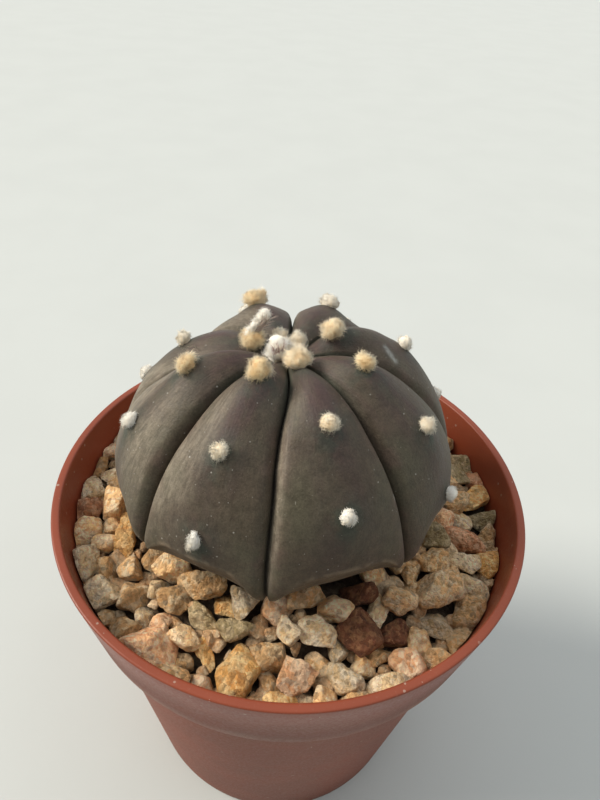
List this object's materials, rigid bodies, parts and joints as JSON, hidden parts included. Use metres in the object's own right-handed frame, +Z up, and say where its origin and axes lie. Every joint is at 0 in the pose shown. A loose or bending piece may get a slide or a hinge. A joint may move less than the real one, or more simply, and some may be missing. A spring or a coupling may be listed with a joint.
{
  "type": "potted star cactus",
  "caption": "Small ribbed, spineless star cactus with woolly tufts along its ribs, rooted in a round plastic pot dressed with granite grit.",
  "frame": {"origin": "centre of the pot's base, on the surface that it stands on", "axes": "+Z up along the pot's axis, -Y towards the viewer of the picture, +X to that viewer's right"},
  "size_m": [0.085, 0.085, 0.1091],
  "materials": {
    "pot_plastic": "satin",
    "potting_mix": "matte",
    "granite_grit": "matte",
    "cactus_skin": "satin",
    "areole_wool": "matte"
  },
  "bodies": {
    "root": {"pot": "pot_plastic", "potting_mix": "potting_mix", "grit": "granite_grit", "cactus": "cactus_skin"}
  },
  "joints": []
}
